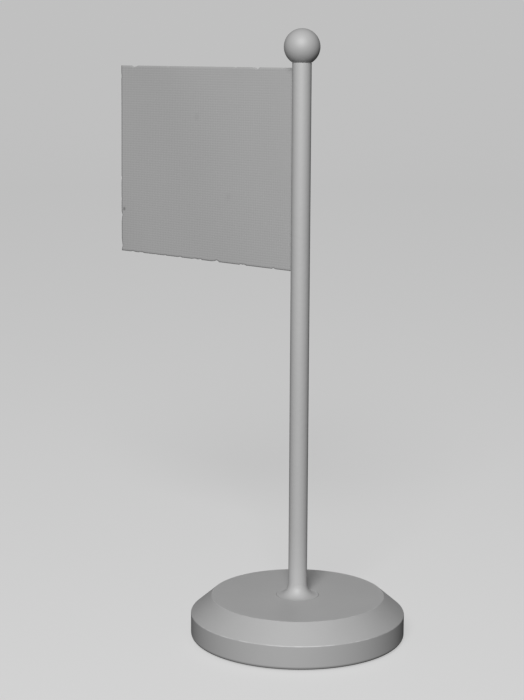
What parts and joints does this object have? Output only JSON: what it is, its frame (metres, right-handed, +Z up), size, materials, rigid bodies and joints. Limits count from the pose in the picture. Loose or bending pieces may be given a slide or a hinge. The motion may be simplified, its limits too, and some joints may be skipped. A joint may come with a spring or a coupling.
{
  "type": "desk flag stand",
  "caption": "Weighted round base with a slim swivelling pole, a rectangular flag held flat in a slot of the pole, and a ball finial on top.",
  "frame": {"origin": "centre of the felt pad's lower face, on the pole's axis, where the stand meets the desk", "axes": "+Z up along the pole, -X towards the flag's free edge, the flag lies in the plane Y = 0"},
  "size_m": [0.1875, 0.109, 0.307],
  "materials": {
    "pad_felt": "pressed wool felt",
    "zinc_plated_steel": "zinc plated",
    "ballast_iron": "as cast",
    "shell_plastic": "moulded, fine satin",
    "bush_acetal": "turned",
    "spring_steel": "pressed and oiled",
    "pole_paint": "satin powder coat on aluminium",
    "flag_fabric": "stiffened woven polyester, plain",
    "rod_steel": "drawn",
    "ring_rubber": "moulded",
    "insert_brass": "turned",
    "ball_plastic": "moulded, satin"
  },
  "bodies": {
    "base": {"felt_pad": "pad_felt", "bottom_cover": "zinc_plated_steel", "cover_screws": "zinc_plated_steel", "ballast_puck": "ballast_iron", "base_shell": "shell_plastic", "swivel_bush": "bush_acetal", "friction_spring": "spring_steel"},
    "pole": {"retaining_washer": "zinc_plated_steel", "lock_washer": "spring_steel", "retaining_screw": "zinc_plated_steel", "pole_foot": "pole_paint", "pole_tube": "pole_paint"},
    "flag": {"flag_cloth": "flag_fabric", "luff_rod": "rod_steel", "finial_plug": "bush_acetal", "plug_o_ring": "ring_rubber"},
    "insert": {"finial_insert": "insert_brass"},
    "ball": {"finial_ball": "ball_plastic"}
  },
  "joints": [
    {"name": "pole_swivel", "type": "hinge", "parent": "base", "child": "pole", "pos_m": [0, 0, 0.015], "axis": [0, 0, 1], "continuous": true},
    {"name": "flag_lift", "type": "slide", "parent": "pole", "child": "flag", "axis": [0, 0, 1], "range_m": [0, 0.1]},
    {"name": "finial_rise", "type": "slide", "parent": "flag", "child": "insert", "axis": [0, 0, 1], "range_m": [0, 0.00701]},
    {"name": "finial_turn", "type": "hinge", "parent": "insert", "child": "ball", "pos_m": [0, 0, 0.294], "axis": [0, 0, 1], "range_deg": [0, 5040]}
  ],
  "couplings": [
    {"joint": "finial_rise", "follows": "finial_turn", "m_per_rad": 0.000079577}
  ]
}
